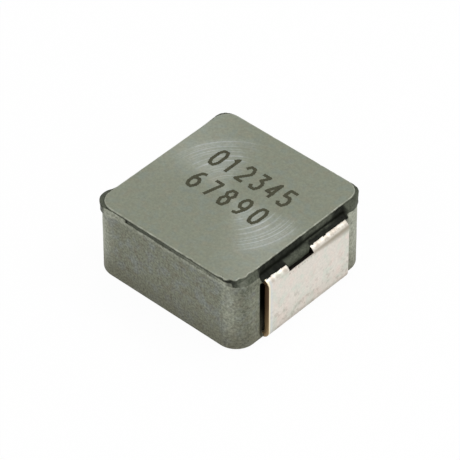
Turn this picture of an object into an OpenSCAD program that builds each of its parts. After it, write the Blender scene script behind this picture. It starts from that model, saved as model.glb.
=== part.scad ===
// Moulded power inductor, surface mount.
// A flat-wire coil is welded to two tinned copper strips and pressed into a block of
// iron powder. The strips leave the end walls, fold down beside them and turn under the
// block, where they become the solder feet.
// Millimetres. The origin is on the board, under the middle of the part. +Z is up and
// the terminals are at +X and -X.

/* [Moulded body] */
// Width of the block, across the terminals' run
body_width = 12.9; // [11:0.1:16]
// Length of the block, between the faces of its end walls
body_length = 13.16; // [12:0.02:16]
// Height of the block from its underside to its top face
body_height = 6.08; // [5:0.02:8]
// How far each end wall draws in between foot and shoulder
wall_draft = 0.04; // [0.01:0.01:0.3]
// How far below the rim each end wall starts to lean in
shoulder_drop = 0.42; // [0.1:0.01:0.8]
// How far each end wall leans in between that shoulder and the rim
end_lean = 0.32; // [0:0.01:0.4]
// Radius of the upright corners below the shoulder
corner_radius = 1.55; // [0.6:0.05:2.5]
// Radius of the upright corners at the rim
rim_radius = 0.97; // [0.5:0.01:2]
// Break along the edges of the underside
foot_break = 0.1; // [0.02:0.01:0.3]

/* [Pressed top face] */
// How far the top face stands above the rim
top_step = 0.11; // [0.02:0.01:0.4]
// Ledge between rim and top face at the two ends
end_ledge = 0.1; // [0:0.01:0.5]
// Ledge between rim and top face along the two sides
side_ledge = 0.06; // [0:0.01:0.5]
// Corner radius of the top face
top_radius = 1.2; // [0.6:0.05:3]

/* [Terminals] */
// Thickness of the tinned copper strip
strip_thickness = 0.38; // [0.15:0.01:0.5]
// Width of the strip
strip_width = 8.0; // [6:0.1:9]
// Sideways set of the strip from the middle of its end wall
strip_offset = 0.15; // [-0.4:0.01:0.4]
// Depth of the strip's upper face under the top face, where it leaves the wall
lead_depth = 0.95; // [0.7:0.01:1.8]
// Distance of the strip's upright from the plane of the end wall
upright_gap = 0.04; // [0.02:0.01:0.4]
// Outer radius of the bend beside the wall's top
upper_bend = 0.6; // [0.45:0.01:0.7]
// Outer radius of the bend beside the board
lower_bend = 0.7; // [0.5:0.01:1.2]
// Length of the foot, from the upright's outer face inward
foot_length = 2.9; // [2:0.1:4]
// How far the foot stands proud of the underside
stand_off = 0.1; // [0.02:0.01:0.3]
// Length of the strip held inside the block, from the plane of the end wall inward
strip_anchor = 2.1; // [1.6:0.1:2.6]
// Width of the window punched through the upper bend
window_width = 2.4; // [1:0.1:4]
// Sideways place of the window's middle, from the middle of the strip
window_offset = -0.75; // [-1.5:0.05:1.5]
// Angle round the upper bend at which the window ends
window_angle = 70; // [20:1:78]
// Play of the metal in the pressed powder
seat_play = 0.02; // [0.01:0.01:0.1]

/* [Relief behind the strip] */
// Depth of the relief in the end wall
relief_depth = 0.3; // [0.1:0.01:0.4]
// Air between the strip's edge and the relief's side, at the relief's floor
relief_side = 0.12; // [0.02:0.01:0.4]
// Angle at which each side of the relief slants out from its floor
relief_slant = 48; // [0:1:60]

/* [Coil] */
// Whole turns of the coil
turns = 2; // [1:1:2]
// Width of the flat wire, across the winding
wire_width = 1.9; // [1.2:0.1:2.1]
// Thickness of the flat wire
wire_thickness = 0.8; // [0.5:0.05:0.9]
// Powder and film between one turn and the next
turn_gap = 0.2; // [0.15:0.01:0.3]
// Radius of the powder post inside the coil
post_radius = 2.1; // [1.6:0.1:2.4]
// Insulating film round the wire
film = 0.04; // [0.02:0.01:0.06]
// Radius inside the rising tail's bend
tail_bend = 0.3; // [0.2:0.05:0.5]
// Distance that each tail ends short of the strip's inner bend, inside the wall
tail_inset = 0.9; // [0.5:0.1:1.4]

/* [Hidden] */
$fn = 64;

// Heights above the board
underside_z = stand_off;
top_z = underside_z + body_height;
rim_z = top_z - top_step;
shoulder_z = rim_z - shoulder_drop;
lead_z = top_z - lead_depth;
lead_under_z = lead_z - strip_thickness;

// Half sizes of the block
wall_x = body_length / 2;
rim_half_x = wall_x - end_lean;
half_y = body_width / 2;
plate_skin = 0.01;

// Strip: upright's faces, bend centres and ends along X
upright_in_x = wall_x + upright_gap;
upright_out_x = upright_in_x + strip_thickness;
upper_centre = [upright_out_x - upper_bend, lead_z - upper_bend];
lower_centre = [upright_out_x - lower_bend, lower_bend];
foot_end_x = upright_out_x - foot_length;
anchor_x = wall_x - strip_anchor;
bend_steps = 16;

// Coil: the wire's centre line
coil_radius = post_radius + film + wire_width / 2;
pitch = wire_thickness + turn_gap;
high_z = lead_under_z - wire_thickness / 2;
low_z = high_z - turns * pitch;
tail_x = wall_x - tail_inset;
riser_radius = tail_bend + wire_thickness / 2;
riser_x = -tail_x + wire_thickness / 2;
turn_steps = 40;
riser_steps = 6;

// ---- Outlines ----------------------------------------------------------------------

// Points of an arc in its own plane, ends included.
function arc_points(centre, radius, from, to, steps) =
    [for (i = [0:steps]) let (a = from + (to - from) * i / steps)
        centre + radius * [cos(a), sin(a)]];

// Rectangle with round corners, by half lengths.
module rounded_rectangle(half_x, half_y, radius) {
    square([2 * (half_x - radius), 2 * half_y], center = true);
    square([2 * half_x, 2 * (half_y - radius)], center = true);
    for (sx = [-1, 1], sy = [-1, 1])
        translate([sx * (half_x - radius), sy * (half_y - radius)])
            circle(r = radius);
}

// Thin round-cornered plate with its underside at height z.
module guide_plate(z, half_x, half_y, radius) {
    translate([0, 0, z])
        linear_extrude(height = plate_skin)
            rounded_rectangle(half_x, half_y, radius);
}

// ---- Moulded body ------------------------------------------------------------------

// The block up to its rim: a broken lower edge, upright walls to the shoulder, then ends
// that lean in while the corners tighten.
module pressed_block() {
    hull() {
        guide_plate(underside_z, wall_x - foot_break, half_y - foot_break,
                    corner_radius - foot_break);
        guide_plate(underside_z + foot_break, wall_x, half_y, corner_radius);
        guide_plate(shoulder_z - plate_skin, wall_x - wall_draft, half_y,
                    corner_radius - 0);
        guide_plate(rim_z - plate_skin, rim_half_x, half_y, rim_radius);
    }
}

// The flat face left by the upper punch, raised a little above the rim.
module top_face() {
    translate([0, 0, rim_z - top_step])
        linear_extrude(height = 2 * top_step)
            rounded_rectangle(rim_half_x - end_ledge, half_y - side_ledge, top_radius);
}

// Shallow upright channel in the end wall, in which the strip comes down clear of the
// powder. Its sides slant out towards the wall's face.
module relief() {
    floor_x = wall_x - relief_depth;
    floor_y = strip_width / 2 + relief_side;
    open_y = floor_y + (upright_out_x - floor_x) * tan(relief_slant);
    linear_extrude(height = top_z)
        translate([0, strip_offset])
            polygon([[floor_x, -floor_y], [upright_out_x, -open_y],
                     [upright_out_x, open_y], [floor_x, floor_y]]);
}

module moulded_body() {
    color([0.49, 0.5, 0.45])
    difference() {
        union() {
            pressed_block();
            top_face();
        }
        for (turn = [0, 180]) rotate([0, 0, turn]) {
            strip_seat(seat_play);
            relief();
        }
        wire(film);
    }
}

// ---- Terminals ---------------------------------------------------------------------

// Edge of the strip, seen along +Y: in from the wall, down the upright, under the block.
function strip_edge() = concat(
    [[anchor_x, lead_z]],
    arc_points(upper_centre, upper_bend, 90, 0, bend_steps),
    arc_points(lower_centre, lower_bend, 0, -90, bend_steps),
    [[foot_end_x, 0], [foot_end_x, strip_thickness]],
    arc_points(lower_centre, lower_bend - strip_thickness, -90, 0, bend_steps),
    arc_points(upper_centre, upper_bend - strip_thickness, 0, 90, bend_steps),
    [[anchor_x, lead_under_z]]);

// A flat shape in X and Z, given its width along Y and centred on y.
module across(y, width) {
    translate([0, y + width / 2, 0])
        rotate([90, 0, 0])
            linear_extrude(height = width)
                children();
}

// The window: it cuts the strip from inside the wall to part way round the upper bend.
// Inside the wall the pressed powder fills it, short of its edges by play.
module window(play = 0) {
    reach = 2 * upper_bend;
    start_x = anchor_x + strip_anchor / 2 + play;
    across(strip_offset + window_offset, window_width - 2 * play)
        polygon([
            [start_x, lead_under_z - reach],
            [start_x, lead_z + reach],
            [upper_centre.x, lead_z + reach],
            upper_centre + reach * [cos(90 - window_angle), sin(90 - window_angle)],
            upper_centre]);
}

// Space that the strip takes from the block, with play on its inner side: the slot that
// holds its end, the relief beside its bends and the shallow pocket round its foot.
module strip_seat(play) {
    difference() {
        across(strip_offset, strip_width + 2 * play)
            polygon(concat(
                [[foot_end_x - play, -strip_thickness],
                 [foot_end_x - play, strip_thickness + play]],
                arc_points(lower_centre, lower_bend - strip_thickness - play, -90, 0,
                           bend_steps),
                arc_points(upper_centre, upper_bend - strip_thickness - play, 0, 90,
                           bend_steps),
                [[anchor_x - play, lead_under_z - play],
                 [anchor_x - play, lead_z + play],
                 [upright_out_x, lead_z + play],
                 [upright_out_x, -strip_thickness]]));
        window(play);
    }
}

module terminal() {
    difference() {
        across(strip_offset, strip_width) polygon(strip_edge());
        window();
    }
}

module terminal_right() {
    color([0.85, 0.83, 0.79]) terminal();
}

module terminal_left() {
    color([0.85, 0.83, 0.79]) rotate([0, 0, 180]) terminal();
}

// ---- Coil --------------------------------------------------------------------------

// One station of the wire: [centre, direction across the width, direction of thickness].
function riser_stations() = concat(
    [[[riser_x, -coil_radius, lead_under_z], [0, 1, 0], [1, 0, 0]]],
    [for (i = [0:riser_steps]) let (a = 90 * i / riser_steps)
        [[riser_x + riser_radius * (1 - cos(a)), -coil_radius,
          low_z + riser_radius * (1 - sin(a))],
         [0, 1, 0], [cos(a), 0, sin(a)]]]);

function turn_stations() =
    [for (i = [0:turn_steps * turns]) let (a = 360 * i / turn_steps - 90)
        [[coil_radius * cos(a), coil_radius * sin(a), low_z + pitch * i / turn_steps],
         [-cos(a), -sin(a), 0], [0, 0, 1]]];

function tail_station() = [[tail_x, -coil_radius, high_z], [0, 1, 0], [0, 0, 1]];

function wire_stations() = concat(riser_stations(), turn_stations(), [tail_station()]);

// The four corners of the wire at a station, with the section grown by g.
function section(s, g) = let (
    w = (wire_width / 2 + g) * s[1],
    t = (wire_thickness / 2 + g) * s[2])
    [s[0] - w - t, s[0] + w - t, s[0] + w + t, s[0] - w + t];

// The wire swept through its stations; g grows it on every side for the powder's cavity.
module wire(g = 0) {
    stations = wire_stations();
    count = len(stations);
    rings = [for (i = [0:count - 1])
        let (push = i == 0 ? [0, 0, g] : i == count - 1 ? [g, 0, 0] : [0, 0, 0])
        each [for (p = section(stations[i], g)) p + push]];
    sides = [for (i = [0:count - 2], k = [0:3])
        let (a = 4 * i + k, b = 4 * i + (k + 1) % 4)
        each [[a, b + 4, b], [a, a + 4, b + 4]]];
    last = 4 * (count - 1);
    polyhedron(
        points = rings,
        faces = concat([[0, 1, 2, 3]], sides, [[last + 3, last + 2, last + 1, last]]),
        convexity = 6);
}

module coil() {
    color([0.72, 0.45, 0.2]) wire();
}

// ---- Nodes -------------------------------------------------------------------------

moulded_body();
coil();
terminal_right();
terminal_left();
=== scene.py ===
"""Looks of a moulded power inductor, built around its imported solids.

The block of pressed iron powder, its two tinned copper strips and a plain marking are
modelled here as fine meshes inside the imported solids' outline. The coil keeps its own
solid. Lengths inside the classes are in millimetres and become metres in the meshes.
"""

from __future__ import annotations

import logging
import math
from collections.abc import Sequence
from dataclasses import dataclass, field
from enum import Enum

import bmesh
import bpy
import numpy as np
from mathutils import Matrix, Vector, noise

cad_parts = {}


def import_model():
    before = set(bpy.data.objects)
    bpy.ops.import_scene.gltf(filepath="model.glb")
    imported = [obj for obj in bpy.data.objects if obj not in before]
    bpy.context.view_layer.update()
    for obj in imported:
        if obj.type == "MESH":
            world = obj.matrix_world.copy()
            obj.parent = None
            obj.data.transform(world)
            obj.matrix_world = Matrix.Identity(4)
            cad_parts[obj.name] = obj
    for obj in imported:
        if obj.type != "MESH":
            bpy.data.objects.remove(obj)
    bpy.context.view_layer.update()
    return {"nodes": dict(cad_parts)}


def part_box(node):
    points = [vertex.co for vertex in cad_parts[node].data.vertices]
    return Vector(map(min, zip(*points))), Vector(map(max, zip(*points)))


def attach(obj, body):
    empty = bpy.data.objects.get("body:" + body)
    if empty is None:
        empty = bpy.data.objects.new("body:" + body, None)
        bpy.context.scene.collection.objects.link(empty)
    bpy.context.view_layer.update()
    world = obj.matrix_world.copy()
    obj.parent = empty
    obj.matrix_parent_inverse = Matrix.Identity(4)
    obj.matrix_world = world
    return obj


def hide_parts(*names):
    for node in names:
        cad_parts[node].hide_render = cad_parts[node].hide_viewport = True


LOG = logging.getLogger("moulded_inductor")
MM = 0.001
Colour = tuple[float, float, float]


class End(Enum):
    """The end of the block that a terminal strip stands at."""

    RIGHT = 1
    LEFT = -1


class Face(Enum):
    """The two ways in which the powder's surface is finished by the die."""

    WALL = "wall"
    TOP = "top"


# ---- Small mathematics ---------------------------------------------------------------


def smooth(low: float, high: float, value: np.ndarray) -> np.ndarray:
    """Return a smooth step from 0 at low to 1 at high.

    Args:
        low: Value at which the step starts.
        high: Value at which the step ends.
        value: Values to place on the step.

    Returns:
        The step's height at each value.
    """
    t = np.clip((value - low) / (high - low), 0.0, 1.0)
    return t * t * (3.0 - 2.0 * t)


def bump_at(value: np.ndarray, centre: float, width: float) -> np.ndarray:
    """Return a bell of height 1 around centre, with the given width."""
    return np.exp(-(((value - centre) / width) ** 2))


def rough(points: np.ndarray, grain: float, seed: float, octaves: int = 1) -> np.ndarray:
    """Return smooth random values between about -1 and 1 at points in millimetres.

    Args:
        points: Array of shape (count, 3), in millimetres.
        grain: Size of the largest lumps, in millimetres.
        seed: Shift that makes one field differ from another.
        octaves: How many finer layers are added.

    Returns:
        One value for each point.
    """
    shift = Vector((seed * 7.31, seed * -3.17, seed * 5.53))
    total = np.zeros(len(points))
    for layer in range(octaves):
        size = grain / 2**layer
        values = [noise.noise(Vector(p) / size + shift * (layer + 1)) for p in points]
        total += np.array(values) / 2**layer
    return total


def angle_round(flat: np.ndarray, x: float = 0.0, y: float = 0.0) -> np.ndarray:
    """Return each point's angle round a centre, in degrees."""
    return np.degrees(np.arctan2(flat[:, 1] - y, flat[:, 0] - x))


def lengths_along(points: np.ndarray) -> np.ndarray:
    """Return the length along a line of points at each of them."""
    steps = np.linalg.norm(np.diff(points, axis=0), axis=1)
    return np.concatenate([[0], np.cumsum(steps)])


def unit(vector: np.ndarray) -> np.ndarray:
    """Return a vector of length 1 along another, or zero when that is zero."""
    return vector / (np.linalg.norm(vector) or 1.0)


def direction(azimuth: float, elevation: float) -> Vector:
    """Return the way out from the part at two angles in degrees, with 0 on the -Y side."""
    a, e = math.radians(azimuth), math.radians(elevation)
    return Vector((math.sin(a) * math.cos(e), -math.cos(a) * math.cos(e), math.sin(e)))


def new_object(name: str, data: bpy.types.ID) -> bpy.types.Object:
    """Add an object with its data to the scene."""
    piece = bpy.data.objects.new(name, data)
    bpy.context.scene.collection.objects.link(piece)
    return piece


def srgb(red: float, green: float, painted_edge_reflection: float) -> tuple[float, float, float, float]:
    """Return a linear colour with alpha from 0-255 display values."""

    def linear(value: float) -> float:
        share = value / 255.0
        return share / 12.92 if share <= 0.04045 else ((share + 0.055) / 1.055) ** 2.4

    return (linear(red), linear(green), linear(painted_edge_reflection), 1.0)


# ---- Sizes ---------------------------------------------------------------------------


@dataclass(frozen=True)
class Outline:
    """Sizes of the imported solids, in millimetres, read from the frame."""

    block_low: Vector
    block_high: Vector
    strip_low: Vector
    strip_high: Vector

    @classmethod
    def from_frame(cls) -> Outline:
        """Read the block's and the right strip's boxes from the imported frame."""
        block = [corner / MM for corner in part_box("moulded_body")]
        strip = [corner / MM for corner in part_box("terminal_right")]
        return cls(block[0], block[1], strip[0], strip[1])

    @property
    def underside(self) -> float:
        """Height of the block's underside above the board."""
        return self.block_low.z

    @property
    def top(self) -> float:
        """Height of the block's top face above the board."""
        return self.block_high.z


# ---- Shader building -----------------------------------------------------------------


@dataclass
class Graph:
    """A node tree with short calls to add and link nodes."""

    tree: bpy.types.NodeTree

    @classmethod
    def of(cls, owner: bpy.types.Material | bpy.types.World) -> Graph:
        """Return a material's or the world's graph, emptied."""
        owner.use_nodes = True
        owner.node_tree.nodes.clear()
        return cls(owner.node_tree)

    def add(self, kind: str, **settings: object) -> bpy.types.Node:
        """Add a node and set its properties.

        Args:
            kind: Name of the node's type.
            settings: Properties of the node and their values.

        Returns:
            The new node.
        """
        node = self.tree.nodes.new(kind)
        for name, value in settings.items():
            setattr(node, name, value)
        return node

    def put(self, socket: bpy.types.NodeSocket, value: object) -> None:
        """Set a socket's value, or link it when the value is another socket."""
        if isinstance(value, bpy.types.NodeSocket):
            self.tree.links.new(value, socket)
        else:
            socket.default_value = value

    def maths(self, operation: str, *values: object) -> bpy.types.NodeSocket:
        """Add a Math node and return its output."""
        node = self.add("ShaderNodeMath", operation=operation)
        for socket, value in zip(node.inputs, values):
            self.put(socket, value)
        return node.outputs[0]

    def step(self, value: object, low: float, high: float) -> bpy.types.NodeSocket:
        """Return a smooth step from 0 at low to 1 at high."""
        node = self.add("ShaderNodeMapRange", interpolation_type="SMOOTHSTEP")
        self.put(node.inputs["Value"], value)
        self.put(node.inputs["From Min"], low)
        self.put(node.inputs["From Max"], high)
        return node.outputs["Result"]

    def mix(self, share: object, first: object, second: object,
            blend: str = "MIX") -> bpy.types.NodeSocket:
        """Mix two colours.

        Args:
            share: How much of the second colour is taken.
            first: The first colour.
            second: The second colour.
            blend: How the two are put together.

        Returns:
            The mixed colour's socket.
        """
        node = self.add("ShaderNodeMix", data_type="RGBA", blend_type=blend)
        self.put(node.inputs["Factor"], share)
        self.put(node.inputs[6], first)
        self.put(node.inputs[7], second)
        return node.outputs[2]

    def noise(self, vector: object, scale: object, detail: float = 2.0,
              roughness: float = 0.5) -> bpy.types.NodeSocket:
        """Return a noise texture's value at vector."""
        node = self.add("ShaderNodeTexNoise")
        self.put(node.inputs["Vector"], vector)
        self.put(node.inputs["Scale"], scale)
        self.put(node.inputs["Detail"], detail)
        self.put(node.inputs["Roughness"], roughness)
        return node.outputs[0]

    def split(self, vector: bpy.types.NodeSocket) -> bpy.types.NodeOutputs:
        """Return a vector's three parts."""
        node = self.add("ShaderNodeSeparateXYZ")
        self.put(node.inputs[0], vector)
        return node.outputs

    def tint(self, colour: object, shade: bpy.types.NodeSocket) -> bpy.types.NodeSocket:
        """Multiply a colour by a value around 1."""
        grey = self.add("ShaderNodeCombineXYZ")
        for socket in grey.inputs:
            self.put(socket, shade)
        return self.mix(1.0, colour, grey.outputs[0], "MULTIPLY")

    def attribute(self, name: str) -> bpy.types.NodeSocket:
        """Return a value that the mesh keeps for each of its points."""
        return self.add("ShaderNodeAttribute", attribute_name=name).outputs["Fac"]

    def lines(self, value: object, scale: float, detail: float,
              roughness: float) -> bpy.types.NodeSocket:
        """Return a noise texture's value along one value, which draws rings or lines."""
        node = self.add("ShaderNodeTexNoise", noise_dimensions="1D")
        self.put(node.inputs["W"], value)
        self.put(node.inputs["Scale"], scale)
        self.put(node.inputs["Detail"], detail)
        self.put(node.inputs["Roughness"], roughness)
        return node.outputs[0]

    def bump(self, shader: bpy.types.Node, height: object, distance: float) -> None:
        """Give a shader fine relief, with a distance in millimetres."""
        node = self.add("ShaderNodeBump")
        node.inputs["Distance"].default_value = distance * MM
        self.put(node.inputs["Height"], height)
        self.put(shader.inputs["Normal"], node.outputs[0])

    def mix_shaders(self, share: object, first: bpy.types.Node,
                    second: bpy.types.Node) -> bpy.types.NodeSocket:
        """Mix two shader nodes."""
        node = self.add("ShaderNodeMixShader")
        for socket, value in zip(node.inputs, (share, first.outputs[0], second.outputs[0])):
            self.put(socket, value)
        return node.outputs[0]

    def group(self, tree: bpy.types.NodeTree, **values: object) -> bpy.types.Node:
        """Place a node group and set its inputs by name.

        Args:
            tree: The group to place.
            values: Input names, with spaces as underscores, and their values.

        Returns:
            The group's node.
        """
        node = self.add("ShaderNodeGroup", node_tree=tree)
        for name, value in values.items():
            self.put(node.inputs[name.replace("_", " ")], value)
        return node


def new_group(name: str, inputs: Sequence[tuple[str, str, object]],
              outputs: Sequence[tuple[str, str]]) -> tuple[Graph, bpy.types.Node, bpy.types.Node]:
    """Make an empty shader node group.

    Args:
        name: Name of the group.
        inputs: Name, socket type and default of each input.
        outputs: Name and socket type of each output.

    Returns:
        The group's graph, its input node and its output node.
    """
    tree = bpy.data.node_groups.new(name, "ShaderNodeTree")
    for label, kind, default in inputs:
        socket = tree.interface.new_socket(label, in_out="INPUT", socket_type=kind)
        socket.default_value = default
    for label, kind in outputs:
        tree.interface.new_socket(label, in_out="OUTPUT", socket_type=kind)
    graph = Graph(tree)
    return graph, graph.add("NodeGroupInput"), graph.add("NodeGroupOutput")


class Effects:
    """Shader node groups that several finishes share, each built once."""

    def __init__(self) -> None:
        """Build every group."""
        self.place = self._place()
        self.mottle = self._mottle()
        self.grain = self._grain()

    def clouded(self, graph: Graph, vector: bpy.types.NodeSocket, colours: Sequence[Colour],
                size: float, amount: float) -> bpy.types.NodeSocket:
        """Return a colour clouded with two others.

        Args:
            graph: The material's graph.
            vector: The place on the object.
            colours: The base, the warm and the cool colour.
            size: Size of the clouds, in millimetres.
            amount: How strongly they show.

        Returns:
            The colour's socket.
        """
        base, warm, cool = (srgb(*colour) for colour in colours)
        clouds = graph.group(self.mottle, Vector=vector, Base=base, Warm=warm, Cool=cool,
                             Size=size, Amount=amount)
        return clouds.outputs["Colour"]

    def _place(self) -> bpy.types.NodeTree:
        """Build the group that gives the place on the object, in millimetres."""
        graph, _, out = new_group("place_in_millimetres", [], [
            ("Place", "NodeSocketVector"), ("Radius", "NodeSocketFloat"),
            ("Angle", "NodeSocketFloat"), ("Height", "NodeSocketFloat")])
        coordinates = graph.add("ShaderNodeTexCoord")
        scale = graph.add("ShaderNodeVectorMath", operation="SCALE")
        graph.put(scale.inputs[0], coordinates.outputs["Object"])
        graph.put(scale.inputs["Scale"], 1.0 / MM)
        x, y, z = graph.split(scale.outputs[0])
        square = graph.maths("ADD", graph.maths("MULTIPLY", x, x), graph.maths("MULTIPLY", y, y))
        radius = graph.maths("SQRT", square)
        graph.put(out.inputs["Place"], scale.outputs[0])
        graph.put(out.inputs["Radius"], radius)
        graph.put(out.inputs["Angle"], graph.maths("ARCTAN2", y, x))
        graph.put(out.inputs["Height"], z)
        return graph.tree

    def _mottle(self) -> bpy.types.NodeTree:
        """Build the group that clouds a base colour with two others."""
        graph, given, out = new_group("cloudy_colour", [
            ("Vector", "NodeSocketVector", (0, 0, 0)),
            ("Base", "NodeSocketColor", (0.2, 0.2, 0.2, 1)),
            ("Warm", "NodeSocketColor", (0.2, 0.2, 0.2, 1)),
            ("Cool", "NodeSocketColor", (0.2, 0.2, 0.2, 1)),
            ("Size", "NodeSocketFloat", 1.0),
            ("Amount", "NodeSocketFloat", 0.5)], [("Colour", "NodeSocketColor")])
        frequency = graph.maths("DIVIDE", 1.0, given.outputs["Size"])
        warm = graph.step(graph.noise(given.outputs["Vector"], frequency, 3.0), 0.45, 0.7)
        moved = graph.add("ShaderNodeVectorMath", operation="ADD")
        graph.put(moved.inputs[0], given.outputs["Vector"])
        graph.put(moved.inputs[1], (13.7, -5.1, 8.3))
        cool = graph.step(graph.noise(moved.outputs[0], frequency, 3.0), 0.45, 0.7)
        amount = given.outputs["Amount"]
        first = graph.mix(graph.maths("MULTIPLY", warm, amount),
                          given.outputs["Base"], given.outputs["Warm"])
        second = graph.mix(graph.maths("MULTIPLY", cool, amount),
                           first, given.outputs["Cool"])
        graph.put(out.inputs["Colour"], second)
        return graph.tree

    def _grain(self) -> bpy.types.NodeTree:
        """Build the group that gives fine grain as a value around 1 and as a height."""
        graph, given, out = new_group("fine_grain", [
            ("Vector", "NodeSocketVector", (0, 0, 0)),
            ("Size", "NodeSocketFloat", 0.1),
            ("Contrast", "NodeSocketFloat", 0.2)], [
            ("Shade", "NodeSocketFloat"), ("Height", "NodeSocketFloat")])
        frequency = graph.maths("DIVIDE", 1.0, given.outputs["Size"])
        fine = graph.noise(given.outputs["Vector"], frequency, 2.0, 0.6)
        swing = graph.maths("MULTIPLY", graph.maths("SUBTRACT", fine, 0.5),
                            given.outputs["Contrast"])
        graph.put(out.inputs["Shade"], graph.maths("ADD", swing, 1.0))
        graph.put(out.inputs["Height"], fine)
        return graph.tree


def start_material(name: str) -> tuple[bpy.types.Material, Graph, bpy.types.Node]:
    """Make an empty node material with a Principled shader.

    Args:
        name: Name of the material.

    Returns:
        The material, its graph and its Principled node.
    """
    material = bpy.data.materials.new(name)
    graph = Graph.of(material)
    out = graph.add("ShaderNodeOutputMaterial")
    shader = graph.add("ShaderNodeBsdfPrincipled")
    graph.put(out.inputs["Surface"], shader.outputs[0])
    return material, graph, shader


# ---- Finishes ------------------------------------------------------------------------


@dataclass(frozen=True)
class DieFinish:
    """What one part of the die makes of the powder's surface.

    The contrast is that of its fine grain, the relief is the grain's height in
    millimetres.
    """

    base: Colour
    warm: Colour
    cool: Colour
    contrast: float
    roughness: float
    specular: float
    relief: float


@dataclass(frozen=True)
class PressedPowder:
    """Olive-grey pressed iron powder, burnished by the die.

    Colours are display values from 0 to 255, sizes are in millimetres.
    """

    name: str
    top: DieFinish = DieFinish((117, 122, 103), (121, 119, 99), (112, 123, 113),
                               0.65, 0.38, 0.7, 0.02)
    wall: DieFinish = DieFinish((123, 126, 110), (110, 104, 89), (129, 135, 134),
                                1.7, 0.5, 0.08, 0.012)
    low: Colour = (102, 100, 85)
    # Colour that wear and painted highlight lighten the powder towards.
    bright: Colour = (160, 163, 148)
    # Colour of the painted sheen on the top face.
    painted_sheen: Colour = (160, 166, 162)
    raw_and_shade: Colour = (84, 88, 76)
    # Colour towards which the raw powder is darkened, mostly as painted shade.
    black: Colour = (6, 9, 3)
    cloud_size: float = 0.7
    cloud_amount: float = 0.5
    grain_size: float = 0.17
    low_start: float = 3.0
    low_amount: float = 0.6
    # Where the painted sheen's two fans lie on the top face, and how close its arcs are.
    fan_angles: tuple[float, float] = (143.0, -16.0)
    fan_cosines: tuple[float, float] = (0.80, 0.84)
    arc_lines: float = 3.9
    ring_lines: float = 5.0
    ring_edge: tuple[float, float] = (6.2, 5.4)
    anisotropy: float = 0.9
    anisotropy_turn: float = 0.25
    grain_share: float = 0.12

    def make(self, effects: Effects, face: Face) -> bpy.types.Material:
        """Build the material.

        Args:
            effects: The shared shader groups.
            face: Which finish of the die this surface has.

        Returns:
            The material.
        """
        material, graph, shader = start_material(f"{self.name}_{face.value}")
        place = graph.group(effects.place)
        vector = place.outputs["Place"]
        top = face is Face.TOP
        skin = self.top if top else self.wall
        colours = (skin.base, skin.warm, skin.cool)
        clouds = effects.clouded(graph, vector, colours, self.cloud_size, self.cloud_amount)
        grain = graph.group(effects.grain, Vector=vector, Size=self.grain_size,
                            Contrast=skin.contrast)
        # Raw powder, darkened by the painted shade that the mesh keeps.
        raw_in_painted_shade = graph.mix(graph.attribute("dark"), srgb(*self.raw_and_shade), srgb(*self.black))
        colour = graph.mix(graph.attribute("raw_and_shade"), clouds, raw_in_painted_shade)
        # Lighter where worn, and where highlights and light are painted: lips, pale corners,
        # glints and the top face's edge.
        colour = graph.mix(graph.attribute("wear_and_painted_light"), colour, srgb(*self.bright))
        if top:
            # Painted sheen in two fans of bright arcs on the top face.
            colour = graph.mix(self._painted_sheen_arcs(graph, place), colour, srgb(*self.painted_sheen))
        else:
            lower = graph.step(place.outputs["Height"], self.low_start, 0.2)
            colour = graph.mix(graph.maths("MULTIPLY", lower, self.low_amount), colour,
                               srgb(*self.low))
        colour = graph.tint(colour, grain.outputs["Shade"])
        graph.put(shader.inputs["Base Color"], colour)
        shader.inputs["Roughness"].default_value = skin.roughness
        shader.inputs["Specular IOR Level"].default_value = skin.specular
        height = grain.outputs["Height"]
        if top:
            height = graph.maths("MULTIPLY", height, self.grain_share)
            height = graph.maths("ADD", height, self._rings(graph, place))
            turned = graph.add("ShaderNodeTangent", direction_type="RADIAL", axis="Z")
            graph.put(shader.inputs["Tangent"], turned.outputs[0])
            shader.inputs["Anisotropic"].default_value = self.anisotropy
            shader.inputs["Anisotropic Rotation"].default_value = self.anisotropy_turn
        graph.bump(shader, height, skin.relief)
        return material

    def _painted_sheen_arcs(self, graph: Graph, place: bpy.types.Node) -> bpy.types.NodeSocket:
        """Return the painted sheen on the top face: bright arcs in two fans, drawn as colour."""
        fans = []
        for centre, tight in zip(self.fan_angles, self.fan_cosines):
            off = graph.maths("SUBTRACT", place.outputs["Angle"], math.radians(centre))
            fans.append(graph.step(graph.maths("COSINE", off), tight, 0.995))
        fan = graph.maths("MAXIMUM", *fans)
        radius = place.outputs["Radius"]
        reach = graph.maths("MULTIPLY", graph.step(radius, 1.2, 2.6), graph.step(radius, 6.0, 5.4))
        bright = graph.step(graph.lines(radius, self.arc_lines, 5.0, 0.8), 0.5, 0.66)
        patchy = graph.step(graph.noise(place.outputs["Place"], 0.9, 2.0), 0.3, 0.6)
        amount = graph.maths("ADD", graph.maths("MULTIPLY", bright, 0.55), 0.16)
        amount = graph.maths("MULTIPLY", amount, graph.maths("MULTIPLY", fan, reach))
        return graph.maths("MULTIPLY", amount, graph.maths("ADD", 0.45, patchy))

    def _rings(self, graph: Graph, place: bpy.types.Node) -> bpy.types.NodeSocket:
        """Return the height of the turned ring marks left by the punch's face."""
        radius = place.outputs["Radius"]
        rings = graph.lines(radius, self.ring_lines, 3.0, 0.7)
        return graph.maths("MULTIPLY", rings, graph.step(radius, *self.ring_edge))


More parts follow.
